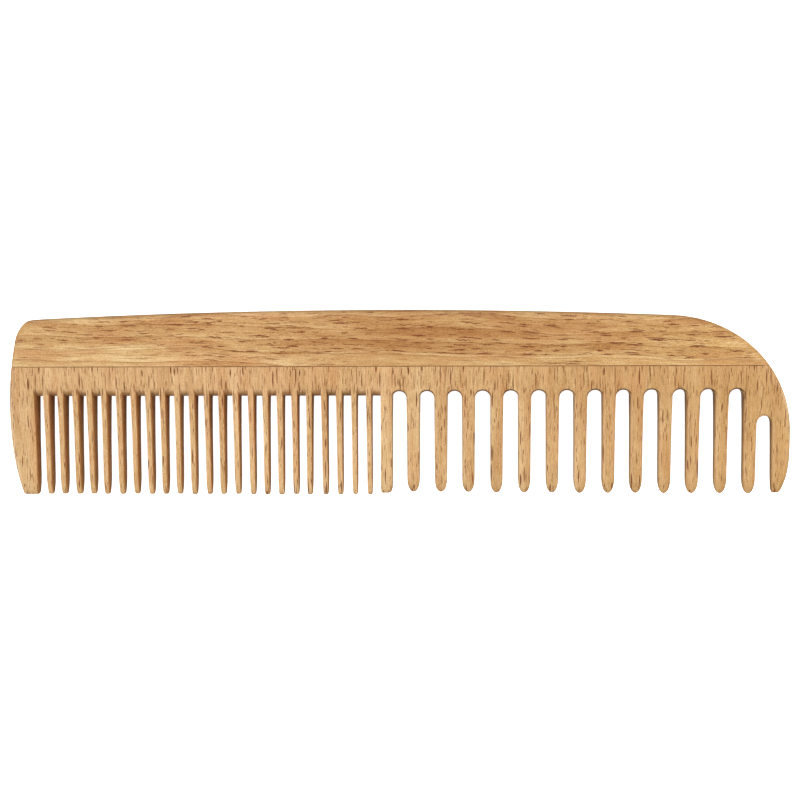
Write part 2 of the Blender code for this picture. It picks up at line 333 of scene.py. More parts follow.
class Tooth:
    """A tooth or guard, given by its left side, its right side and the height of its tip."""

    def __init__(self, left, right, tip_y):
        self.sides = {-1: left, 1: right}
        self.tip_y = tip_y

    def edge_x(self, y, side):
        width, height = self.sides[side].corner
        reach = limited((self.tip_y + height - y) / height)
        cut = 1 - (1 - reach ** CORNER_POWER) ** (1 / CORNER_POWER)
        return self.sides[side].x_at(y) - side * width * cut

    def heights(self, root_y):
        """Heights from the root to the tip, closer together where the tooth thins and narrows."""
        nose_y = self.tip_y + NOSE_LENGTH
        corner_y = self.tip_y + max(side.corner[1] for side in self.sides.values())
        steps = max(2, round((root_y - nose_y) / TOOTH_SPACING))
        made = [between(root_y, nose_y, step / steps) for step in range(steps)]
        if corner_y < nose_y - NOSE_CLEARANCE:
            made += [between(nose_y, corner_y, math.sin(math.radians(90) * step / NOSE_STEPS))
                     for step in range(NOSE_STEPS)]
        else:
            corner_y = nose_y
        made += [between(corner_y, self.tip_y, math.sin(math.radians(90) * step / CORNER_STEPS))
                 for step in range(CORNER_STEPS + 1)]
        return made

    def columns(self, side, root_y):
        """Columns down one side, from the root to the tip."""
        made = []
        for y in self.heights(root_y):
            room = WIDTH_SHARE * (self.edge_x(y, 1) - self.edge_x(y, -1))
            edge = self.sides[side].edge_at(y)
            x = self.edge_x(y, side)
            made.append(Column(x, y, -side, 0, min(edge, room), edge, self.tip_y))
        return made


# ---------------------------------------------------------------- shells

def within(loop, spots):
    """For each spot, whether it lies inside the loop."""
    x, y = np.array(spots).T
    odd = np.zeros(len(x), bool)
    for (ax, ay), (bx, by) in zip(loop, loop[1:] + loop[:1]):
        if ay != by:
            odd ^= ((ay > y) != (by > y)) & (x < ax + (y - ay) * (bx - ax) / (by - ay))
    return odd


def flat_spots(rim, spacing, low_y, high_y):
    """Points spread evenly over the flat of a face, clear of its rim."""
    spots = []
    for row in range(int((high_y - low_y) / spacing) + 1):
        for step in range(int((RIGHT_X - LEFT_X) / spacing)):
            share = (step + 0.5 + 0.5 * (row % 2)) * spacing / (RIGHT_X - LEFT_X)
            spots.append((between(LEFT_X, RIGHT_X, share), low_y + row * spacing))
    loop = [p[:2] for p in rim]
    edge = np.array(loop)
    kept = []
    for spot, good in zip(spots, within(loop, spots)):
        if good and np.min(np.hypot(*(edge - spot).T)) > 0.6 * spacing:
            kept.append(spot)
    return kept


def fill(rim, spots):
    """Triangles that fill the rim, through the spots. Returns the points and the triangles."""
    loop = [p[:2] for p in rim]
    count = len(rim)
    edges = [(i, (i + 1) % count) for i in range(count)]
    made = delaunay_2d_cdt([Vector(p) for p in loop + spots], edges, [], 0, 1e-7, True)
    flat, triangles, origins = made[0], made[2], made[3]
    points = []
    for place, origin in zip(flat, origins):
        on_rim = [i for i in origin if i < count]
        points.append(rim[on_rim[0]] if on_rim else (place.x, place.y, half_thickness(place.y)))
    centres = [sum((flat[v] for v in face), Vector((0, 0))) / 3 for face in triangles]
    return points, [face for face, good in zip(triangles, within(loop, centres)) if good]


def shell(name, columns, roots=None, grid=None):
    """A closed solid, alike above and below the middle plane, from the columns round it.

    roots gives, after a column's number, the rows of points of the fine slot's root that lies
    between it and the next column. grid is the spacing and height range of points in the face.
    """
    roots = roots or {}
    points = [p for column in columns for p in column.ring()]
    faces = []
    rim = []
    count = len(columns)
    for i in range(count):
        rim.append(points[i * RINGS + RINGS - 1])
        if i in roots:
            rows = roots[i]
            across = len(rows[0])
            start = len(points)
            points += [p for row in rows for p in row]
            faces += [(a, a + 1, a + 1 + across, a + across) for r in range(len(rows) - 1)
                      for a in range(start + r * across, start + (r + 1) * across - 1)]
            rim += rows[-1][1:-1]
        else:
            k = (i + 1) % count
            faces += [(i * RINGS + j, k * RINGS + j, k * RINGS + j + 1, i * RINGS + j + 1)
                      for j in range(RINGS - 1)]
    rim = [p for p, after in zip(rim, rim[1:] + rim[:1])
           if math.dist(p[:2], after[:2]) > SAME_POINT / 2]
    spots = flat_spots(rim, *grid) if grid else []
    cap_points, triangles = fill(rim, spots)
    start = len(points)
    points += cap_points
    faces += [tuple(start + v for v in face) for face in triangles]
    total = len(points)
    points += [(x, y, -z) for x, y, z in points]
    faces += [tuple(total + v for v in reversed(face)) for face in faces]
    return solid(name, points, faces)


def solid(name, points, faces):
    mesh = bpy.data.meshes.new(name)
    form = bmesh.new()
    spots = [form.verts.new((x * MM, y * MM, z * MM)) for x, y, z in points]
    for face in faces:
        form.faces.new([spots[v] for v in face])
    bmesh.ops.remove_doubles(form, verts=form.verts, dist=SAME_POINT * MM)
    form.to_mesh(mesh)
    form.free()
    made = bpy.data.objects.new(name, mesh)
    made.location.z = MIDDLE_Z
    bpy.context.scene.collection.objects.link(made)
    return made


# ---------------------------------------------------------------- tooth plate

def end_edge(y):
    return END_ROUNDING


def saw_edge(y):
    return FINE_EDGE


def wide_edge(y):
    """Softly rounded tooth edges that tighten towards the top of the slot."""
    return between(SLOT_EDGE, WIDE_EDGE, limited((WIDE_SLOT_TOP_Y - 1 - y) / EDGE_CHANGE_LENGTH))


def fine_tooth(number):
    x = FIRST_FINE_X + FINE_PITCH * number + chance.gauss(0, FINE_PLACE_SPREAD)
    lean = chance.gauss(0, FINE_LEAN_SPREAD)
    size = chance.gauss(1, FINE_SIZE_SPREAD)
    tip_y = FINE_TIP_Y + chance.gauss(0, FINE_TIP_SPREAD)

    def side_x(y, side):
        down = (FINE_ROOT_Y - y) / (FINE_ROOT_Y - FINE_TIP_Y)
        flare = FINE_FLARE * math.exp(-max(0.0, FINE_ROOT_Y - y) / FINE_FLARE_LENGTH)
        width = between(FINE_WIDTH_AT_ROOT, FINE_WIDTH_AT_TIP, max(0.0, down)) * size
        return x + lean * down + side * (width / 2 + flare)

    return Tooth(Side(lambda y: side_x(y, -1), FINE_CORNER, saw_edge),
                 Side(lambda y: side_x(y, 1), FINE_CORNER, saw_edge), tip_y)


def wide_tooth(number):
    x = FIRST_WIDE_X + WIDE_PITCH * number + chance.gauss(0, WIDE_PLACE_SPREAD)
    tip_rise = FIRST_TIP_RISE * math.exp(-number / TIP_RISE_TEETH)
    tip_y = WIDE_TIP_Y + tip_rise + chance.gauss(0, WIDE_TIP_SPREAD)
    nose = WIDE_NOSE_START_Y - tip_y

    def side_x(y, side):
        down = limited((WIDE_SLOT_TOP_Y - y) / (WIDE_SLOT_TOP_Y - WIDE_NOSE_START_Y))
        half = between(WIDE_WIDTH_AT_ROOT, WIDE_WIDTH_AT_NOSE, down) / 2
        if y < WIDE_NOSE_START_Y:
            reach = min(1.0, (WIDE_NOSE_START_Y - y) / nose)
            half *= (1 - reach ** WIDE_NOSE_POWER) ** (1 / WIDE_NOSE_POWER)
        return x - WIDE_LEAN * (WIDE_SLOT_TOP_Y - y) + side * half

    return Tooth(Side(lambda y: side_x(y, -1), (0, nose), wide_edge),
                 Side(lambda y: side_x(y, 1), (0, nose), wide_edge), tip_y)


def left_guard():
    return Tooth(Side(left_edge_x, GUARD_CORNER, end_edge),
                 Side(lambda y: GUARD_INNER_X, GUARD_CORNER, saw_edge), TIP_Y)


def middle_tooth():
    """The tooth between the two halves: sawn on its left, milled on its right."""
    def left_x(y):
        return MIDDLE_LEFT_X - GUARD_LEAN * (FINE_ROOT_Y - y)

    def right_x(y):
        return MIDDLE_RIGHT_X - WIDE_LEAN * (FINE_ROOT_Y - y)

    return Tooth(Side(left_x, MIDDLE_LEFT_CORNER, saw_edge),
                 Side(right_x, MIDDLE_RIGHT_CORNER, wide_edge), MIDDLE_TIP_Y)


def right_guard():
    def inner_x(y):
        return RIGHT_GUARD_INNER_X - GUARD_LEAN * y

    return Tooth(Side(inner_x, RIGHT_GUARD_INNER_CORNER, wide_edge),
                 Side(right_edge_x, RIGHT_GUARD_OUTER_CORNER, end_edge), RIGHT_GUARD_TIP_Y)


def root_levels():
    """Heights and levels of a fine slot's rounded root, from the middle plane to the face."""
    for step in range(ROOT_STEPS):
        angle = math.radians(90) * step / ROOT_STEPS
        y = FINE_ROOT_Y + FINE_ROOT_DROP * (1 - math.cos(angle))
        yield y, half_thickness(y) * math.sin(angle)
    yield ROOT_FACE_Y, half_thickness(ROOT_FACE_Y)


def root_wall(x, side):
    """Columns up a fine slot's wall beside its rounded root."""
    return [Column(x, y, -side, 0, FINE_EDGE, FINE_EDGE, base_z=z) for y, z in list(root_levels())[1:]]


def root_rows(left_x, right_x):
    return [[(between(left_x, right_x, c / ROOT_ACROSS), y, z) for c in range(ROOT_ACROSS + 1)]
            for y, z in root_levels()]


def slot_arc(left_x, right_x, top_y):
    """Columns over the top of a wide slot, from its left wall to its right wall."""
    radius = (right_x - left_x) / 2
    made = []
    for step in range(1, ARC_STEPS):
        angle = math.radians(180) * (1 - step / ARC_STEPS)
        x = left_x + radius + radius * math.cos(angle)
        y = top_y - radius + radius * math.sin(angle)
        made.append(Column(x, y, math.cos(angle), math.sin(angle), SLOT_EDGE, SLOT_EDGE))
    return made


def slot_top_y(slot):
    """The wide slots rise a little towards the right. The last one is the short one."""
    if slot == WIDE_TEETH:
        return SHORT_SLOT_TOP_Y
    return WIDE_SLOT_TOP_Y + WIDE_SLOT_RISE * slot / (WIDE_TEETH - 1)


def plate_columns():
    """All the columns round the tooth plate, down its left end and on to its right end.

    Returns them with the rows of points of the fine slots' roots.
    """
    first, middle, last = left_guard(), middle_tooth(), right_guard()
    fine = [first] + [fine_tooth(number) for number in range(FINE_TEETH)] + [middle]
    wide = [middle] + [wide_tooth(number) for number in range(WIDE_TEETH)] + [last]

    left_heights = [between(BLANK_TOP_Y, LEFT_GUARD_ROOT_Y, step / LEFT_END_STEPS)
                    for step in range(LEFT_END_STEPS)]
    columns = columns_along([(left_edge_x(y), y) for y in left_heights], end_edge)
    columns += first.columns(-1, LEFT_GUARD_ROOT_Y)
    roots = {}
    for tooth, following in zip(fine, fine[1:]):
        wall_x = tooth.edge_x(FINE_ROOT_Y, 1)
        next_x = following.edge_x(FINE_ROOT_Y, -1)
        columns += reversed(tooth.columns(1, FINE_ROOT_Y))
        columns += root_wall(wall_x, 1)
        roots[len(columns) - 1] = root_rows(wall_x, next_x)
        columns += reversed(root_wall(next_x, -1))
        columns += following.columns(-1, FINE_ROOT_Y)
    for slot, (tooth, following) in enumerate(zip(wide, wide[1:])):
        top_y = slot_top_y(slot)
        wall_x = tooth.edge_x(top_y, 1)
        next_x = following.edge_x(top_y, -1)
        wall_top_y = top_y - (next_x - wall_x) / 2
        columns += reversed(tooth.columns(1, wall_top_y))
        columns += slot_arc(wall_x, next_x, top_y)
        columns += following.columns(-1, wall_top_y)
    columns += reversed(last.columns(1, RIGHT_GUARD_ROOT_Y))
    right_end = [p for p in reversed(shoulder()) if RIGHT_GUARD_ROOT_Y + 0.5 < p[1] < BLANK_TOP_Y]
    columns += columns_along(right_end, end_edge)
    return columns, roots


def make_plate_blank():
    columns, roots = plate_columns()
    grid = (PLATE_SPACING, ROOT_FACE_Y + PLATE_MARGIN, CREST_Y)
    return shell("tooth_plate_wood", columns, roots, grid)


# ---------------------------------------------------------------- spine and glue

def spine_edge(y):
    """Fuller along the crown, and the plate's own rounding where the two meet."""
    share = limited((y - JOINT_Y) / (TOP_Y - CROWN_ROUNDING_DROP - JOINT_Y))
    return between(END_ROUNDING, CROWN_ROUNDING, share)


def make_spine_blank():
    left_heights = [between(CORNER_END_Y, SPINE_BLANK_Y, step / SPINE_LEFT_STEPS)
                    for step in range(1, SPINE_LEFT_STEPS + 1)]
    outline = [(right_edge_x(SPINE_BLANK_Y), SPINE_BLANK_Y)]
    outline += [p for p in reversed(shoulder()) if p[1] > SPINE_BLANK_Y + 0.1]
    outline += crown()[::-1]
    outline += top_left_corner()[::-1]
    outline += [(left_edge_x(y), y) for y in left_heights]
    grid = (SPINE_SPACING, SPINE_BLANK_Y + SPINE_MARGIN, TOP_Y)
    return shell("spine_wood", columns_along(outline, spine_edge), grid=grid)


def make_glue_blank():
    """A slice of the comb round the joint, a little inside the wood's faces."""
    top_y, low_y = CREST_Y + GLUE_REACH, JOINT_Y - GLUE_REACH
    heights = [between(top_y, low_y, step / GLUE_STEPS) for step in range(GLUE_STEPS + 1)]
    left = [(left_edge_x(y) + GLUE_RECESS, y) for y in heights]
    right = [(right_edge_x(y) - GLUE_RECESS, y) for y in reversed(heights)]
    columns = columns_along(left, end_edge) + columns_along(right, end_edge)
    for column in columns:
        column.drop = GLUE_RECESS
    return shell("glue_film", columns)


# ---------------------------------------------------------------- joint

def stepped_line(offset):
    """The joint's path across the thickness, as (y, z) points, moved towards the spine."""
    flank = TONGUE_THICKNESS / 2 + offset
    low_y, high_y = JOINT_Y + offset, CREST_Y + offset
    return [(low_y, -OUTSIDE), (low_y, -flank), (high_y, -flank),
            (high_y, flank), (low_y, flank), (low_y, OUTSIDE)]


def rail(name, profile):
    """A long straight bar along X with the given (y, z) section, to cut the joint with."""
    count = len(profile)
    points = [(side * BAR_REACH, y, z) for side in (-1, 1) for y, z in profile]
    faces = [(i, (i + 1) % count, count + (i + 1) % count, count + i) for i in range(count)]
    faces += [tuple(reversed(range(count))), tuple(range(count, 2 * count))]
    bar = solid(name, points, faces)
    form = bmesh.new()
    form.from_mesh(bar.data)
    bmesh.ops.recalc_face_normals(form, faces=form.faces)
    form.to_mesh(bar.data)
    form.free()
    return bar


def keep_within(piece, profile):
    """Cut the piece to a (y, z) section, for good."""
    bar = rail(piece.name + "_section", profile)
    cut = piece.modifiers.new("cut", "BOOLEAN")
    cut.operation = "INTERSECT"
    cut.solver = "EXACT"
    cut.object = bar
    bpy.context.view_layer.update()
    depsgraph = bpy.context.evaluated_depsgraph_get()
    mesh = bpy.data.meshes.new_from_object(piece.evaluated_get(depsgraph))
    piece.modifiers.clear()
    piece.data = mesh
    bpy.data.objects.remove(bar)


def smooth(piece):
    piece.data.transform(Matrix.Translation((0, 0, MIDDLE_Z)))
    piece.location.z = 0
    piece.data.shade_smooth()
    piece.data.set_sharp_from_angle(angle=math.radians(40))
    even = piece.modifiers.new("even_normals", "WEIGHTED_NORMAL")
    even.keep_sharp = True
    even.weight = 80


spine = make_spine_blank()
keep_within(spine, stepped_line(WOOD_GAP / 2) + [(TOP_Y + CLEAR, OUTSIDE), (TOP_Y + CLEAR, -OUTSIDE)])
plate = make_plate_blank()
keep_within(plate, stepped_line(-WOOD_GAP / 2) + [(TIP_Y - CLEAR, OUTSIDE), (TIP_Y - CLEAR, -OUTSIDE)])
glue = make_glue_blank()
keep_within(glue, stepped_line(GLUE_FILM / 2) + stepped_line(-GLUE_FILM / 2)[::-1])

for piece, node, slot in ((spine, "spine", "spine_beech"), (plate, "tooth_plate", "plate_beech"),
                          (glue, "glue_line", "glue")):
    smooth(piece)
    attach(piece, "root")
    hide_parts(node)


# ---------------------------------------------------------------- camera

CAMERA_DISTANCE = 0.3694
CAMERA_LENS = 72.0
CAMERA_SENSOR = 36.0
CAMERA_YAW = math.radians(3.2)
CAMERA_TILT = math.radians(5.55)
CAMERA_ROLL = math.radians(0.38)
CAMERA_AIM = Vector((1.05 * MM, 0.646 * MM, MIDDLE_Z))


def make_camera():
    camera = bpy.data.objects.new("camera", bpy.data.cameras.new("camera"))
    camera.data.lens = CAMERA_LENS
    camera.data.sensor_width = CAMERA_SENSOR
    turn = Matrix.Rotation(CAMERA_YAW, 4, "Y")
    turn = turn @ Matrix.Rotation(-CAMERA_TILT, 4, "X")
    turn = turn @ Matrix.Rotation(-CAMERA_ROLL, 4, "Z")
    place = CAMERA_AIM + turn.to_3x3() @ Vector((0, 0, CAMERA_DISTANCE))
    camera.matrix_world = Matrix.Translation(place) @ turn
    bpy.context.scene.collection.objects.link(camera)
    bpy.context.scene.camera = camera


make_camera()


# ---------------------------------------------------------------- materials

# Sizes of the grain's features, along the grain, across it and through the board.
SWAY_SIZE = (26.0, 9.0, 14.0)
PEPPER_SIZE = (0.4, 0.22, 0.3)
BLUSH_SIZE = (16.0, 3.0, 8.0)
WOBBLE_SIZE = (0.9, 0.6, 2.0)
THREAD_SIZE = (11.0, 0.3, 2.0)
RING_WANDER = 0.6
SEED_STEP = 17.3

# Places on the comb: where a zone starts, is full, stops being full and ends.
FINE_CUTS_X = (LEFT_X + 4.5, LEFT_X + 5.0, -2.4, -2.0)
WIDE_CUTS_X = (-1.2, -0.8, 80.0, 81.0)
CUT_TOPS_Y = (0.6, 1.4, 5.0, 6.0)

# The dark marks are weakest left of the first X and at full strength right of the second.
FEW_MARKS_X = (-75.0, -20.0)

# How strong the dark marks and the painted shade over the wide slots are on the walls, and the painted
# shade on the fine roots.
WALL_MARKS = 0.3
WALL_CUT_SHADE = 0.3
ROOT_CUT_SHADE = 0.36

# Surface.
SHINE = 0.35
GLUE_ROUGHNESS = 0.4
STREAK_ROUGHNESS = 0.04
MARK_ROUGHNESS = 0.1
SAWN_ROUGHNESS = 0.4
RELIEF_STRENGTH = 0.6
RELIEF_DEPTH = 0.02
PEPPER_RELIEF = 0.5
MARK_RELIEF = -1.5


def tint(red, green, blue):
    """A colour given as it looks on screen, from 0 to 255, as the linear one that nodes take."""
    def linear(level):
        level /= 255
        return level / 12.92 if level <= 0.04045 else ((level + 0.055) / 1.055) ** 2.4
    return (linear(red), linear(green), linear(blue), 1.0)


# In each look, a weight is how strong a feature is. The tone picks a colour from colors, and drift
# gives the tints from the comb's left end to its right end. band gives the heights where a band
# with a tone of its own starts and is full. It sways with the grain and slopes along X. In the spine
# the band is a paler stripe of the wood; in the plate its tone is painted shade, darker on the flat
# body near the joint than on the teeth. Flecks come one or none to a cell, stronger where the broad
# tone is dark, and their sizes are half extents.
SPINE_LOOK = {
    "sway": 0.5, "slope": 0.02,
    "broad": (28.0, 2.8, 7.0), "broad_weight": 0.26,
    "streak": (7.0, 0.42, 1.2), "streak_weight": 0.15,
    "fibre": (1.4, 0.22, 0.4), "fibre_weight": 0.12, "pepper_weight": 0.2,
    "ring": 2.9, "ring_weight": 0.22, "line_weight": 0.45, "thread_weight": 0.35,
    "band": (JOINT_Y + 3.5, JOINT_Y + 2.9), "band_sway": 0.9, "band_slope": 0.016,
    "band_tone_and_shade": 0.19, "band_marks": -0.75, "band_line": 0.4,
    "colors": ((0.0, tint(148, 94, 42)), (0.3, tint(182, 132, 77)), (0.6, tint(204, 160, 105)),
               (1.0, tint(230, 196, 144))),
    "blush": tint(242, 226, 216),
    "drift": ((0.0, tint(232, 236, 231)), (0.31, tint(242, 248, 253)), (0.5, tint(215, 205, 189)),
              (0.7, tint(231, 234, 230)), (1.0, tint(242, 247, 238))),
    "marks": 1.15, "crowding": 0.7, "left_marks": 0.75, "ragged": 0.12, "rarity": 0.0,
    "fleck_cell": (4.8, 0.9, 3.0), "fleck": (1.8, 0.14, 1.4),
    "small_cell": (2.6, 0.6, 2.0), "small": (0.9, 0.09, 1.0), "small_weight": 0.55,
    "mark_color": tint(112, 56, 14),
    "roughness": 0.36,
    "sawn": None,
}

PLATE_LOOK = {
    "sway": 0.25, "slope": 0.0,
    "broad": (30.0, 3.4, 7.0), "broad_weight": 0.16,
    "streak": (6.0, 0.26, 1.2), "streak_weight": 0.12,
    "fibre": (2.2, 0.18, 0.3), "fibre_weight": 0.17, "pepper_weight": 0.16,
    "ring": 2.6, "ring_weight": 0.08, "line_weight": 0.1, "thread_weight": 0.15,
    "band": (-4.0, 4.0), "band_sway": 0.0, "band_slope": 0.0,
    # The band's tone here is painted shade: the flat body near the joint is darker than the tapered
    # teeth.
    "band_tone_and_shade": -0.05, "band_marks": -0.25, "band_line": 0.0,
    "colors": ((0.08, tint(160, 112, 58)), (0.43, tint(196, 153, 103)), (0.73, tint(212, 174, 128)),
               (1.0, tint(232, 199, 155))),
    "blush": tint(250, 240, 234),
    "drift": ((0.0, tint(242, 246, 241)), (0.3, tint(249, 253, 255)), (0.55, tint(246, 252, 251)),
              (0.78, tint(238, 237, 226)), (1.0, tint(233, 228, 208))),
    "marks": 1.3, "crowding": 0.15, "left_marks": 0.9, "ragged": 0.04, "rarity": 0.2,
    "fleck_cell": (4.4, 0.95, 3.0), "fleck": (1.9, 0.15, 1.4),
    "small_cell": (2.6, 0.6, 2.0), "small": (0.9, 0.09, 1.0), "small_weight": 0.7,
    "mark_color": tint(108, 56, 12),
    "roughness": 0.4,
    # rim is the colour of the painted shade at the ends of the cuts.
    "sawn": tint(252, 230, 206), "rim": tint(130, 108, 86),
}

GLUE_DARK = tint(112, 68, 26)
GLUE_LIGHT = tint(146, 100, 50)


class Graph:
    """Shorthand for building a material's nodes. Places are in millimetres."""

    def __init__(self, name, seed):
        self.material = bpy.data.materials.new(name)
        self.material.use_nodes = True
        self.tree = self.material.node_tree
        self.shader = self.tree.nodes["Principled BSDF"]
        self.seed = seed
        place = self.node("ShaderNodeTexCoord").outputs["Object"]
        self.x, self.y, self.z = (self.times(part, 1 / MM) for part in self.parts(place))

    def node(self, kind, **settings):
        made = self.tree.nodes.new(kind)
        for name, value in settings.items():
            setattr(made, name, value)
        return made

    def feed(self, socket, value):
        if isinstance(value, bpy.types.NodeSocket):
            self.tree.links.new(value, socket)
        else:
            socket.default_value = value

    def math(self, operation, *values):
        made = self.node("ShaderNodeMath", operation=operation)
        for socket, value in zip(made.inputs, values):
            self.feed(socket, value)
        return made.outputs[0]

    def add(self, *values):
        total = values[0]
        for value in values[1:]:
            total = self.math("ADD", total, value)
        return total

    def times(self, *values):
        total = values[0]
        for value in values[1:]:
            total = self.math("MULTIPLY", total, value)
        return total

    def absolute(self, value):
        return self.math("ABSOLUTE", value)

    def between(self, start, end, share):
        """A number that goes from start to end as share goes from 0 to 1."""
        return self.math("MULTIPLY_ADD", share, end - start, start)

    def parts(self, vector):
        made = self.node("ShaderNodeSeparateXYZ")
        self.feed(made.inputs[0], vector)
        return made.outputs[:3]

    def scaled(self, spot, size):
        """A spot in units of the given size, shifted so that no two textures line up."""
        made = self.node("ShaderNodeCombineXYZ")
        self.seed += SEED_STEP
        for socket, value, length in zip(made.inputs, spot, size):
            self.feed(socket, self.math("MULTIPLY_ADD", value, 1 / length, self.seed))
        return made.outputs[0]

    def noise(self, spot, size, detail=2.0, roughness=0.5, distortion=0.0):
        """Noise from about -1 to 1, with features of the given size."""
        made = self.node("ShaderNodeTexNoise")
        self.feed(made.inputs["Vector"], self.scaled(spot, size))
        self.feed(made.inputs["Scale"], 1.0)
        self.feed(made.inputs["Detail"], detail)
        self.feed(made.inputs["Roughness"], roughness)
        self.feed(made.inputs["Distortion"], distortion)
        return self.math("MULTIPLY_ADD", made.outputs["Fac"], 4.0, -2.0)

    def ramp(self, value, low, high):
        """0 below low, 1 above high, smooth between. low may be the larger."""
        made = self.node("ShaderNodeMapRange", interpolation_type="SMOOTHSTEP")
        self.feed(made.inputs["Value"], value)
        self.feed(made.inputs["From Min"], low)
        self.feed(made.inputs["From Max"], high)
        return made.outputs["Result"]

    def zone(self, value, start, full, last_full, end):
        """1 from full to last_full, falling to 0 at start and at end."""
        return self.times(self.ramp(value, start, full), self.ramp(value, end, last_full))

    def colors(self, value, stops):
        made = self.node("ShaderNodeValToRGB")
        self.feed(made.inputs[0], value)
        elements = made.color_ramp.elements
        while len(elements) < len(stops):
            elements.new(0.5)
        for element, (position, color) in zip(elements, stops):
            element.position = position
            element.color = color
        return made.outputs[0]

    def mix(self, amount, first, second, blend="MIX"):
        made = self.node("ShaderNodeMix", data_type="RGBA", blend_type=blend)
        self.feed(made.inputs[0], amount)
        self.feed(made.inputs[6], first)
        self.feed(made.inputs[7], second)
        return made.outputs[2]

    def tinted(self, color, by):
        return self.mix(1.0, color, by, "MULTIPLY")

    def flecks(self, spot, cell, size, rarity):
        """Dark lenses where the rays of the wood come to the surface, one or none in each cell."""
        made = self.node("ShaderNodeTexVoronoi", voronoi_dimensions="3D")
        here = self.scaled(spot, cell)
        self.feed(made.inputs["Vector"], here)
        self.feed(made.inputs["Scale"], 1.0)
        offset = self.node("ShaderNodeVectorMath", operation="SUBTRACT")
        self.feed(offset.inputs[0], here)
        self.feed(offset.inputs[1], made.outputs["Position"])
        gaps = self.parts(offset.outputs[0])
        lot_length, lot_width, lot_dark = self.parts(made.outputs["Color"])
        half_length = self.times(self.add(0.5, lot_length), size[0] / cell[0])
        half_width = self.times(self.add(0.6, self.times(lot_width, 0.8)), size[1] / cell[1])
        half_depth = size[2] / cell[2]
        share_along = self.absolute(self.math("DIVIDE", gaps[0], half_length))
        share_across = self.absolute(self.math("DIVIDE", gaps[1], half_width))
        share_deep = self.absolute(self.math("DIVIDE", gaps[2], half_depth))
        reach = self.add(self.math("POWER", share_along, 2.0), share_across,
                         self.math("POWER", share_deep, 4.0))
        lens = self.ramp(reach, 1.15, 0.6)
        return self.times(lens, self.ramp(lot_dark, rarity, rarity + 0.5))


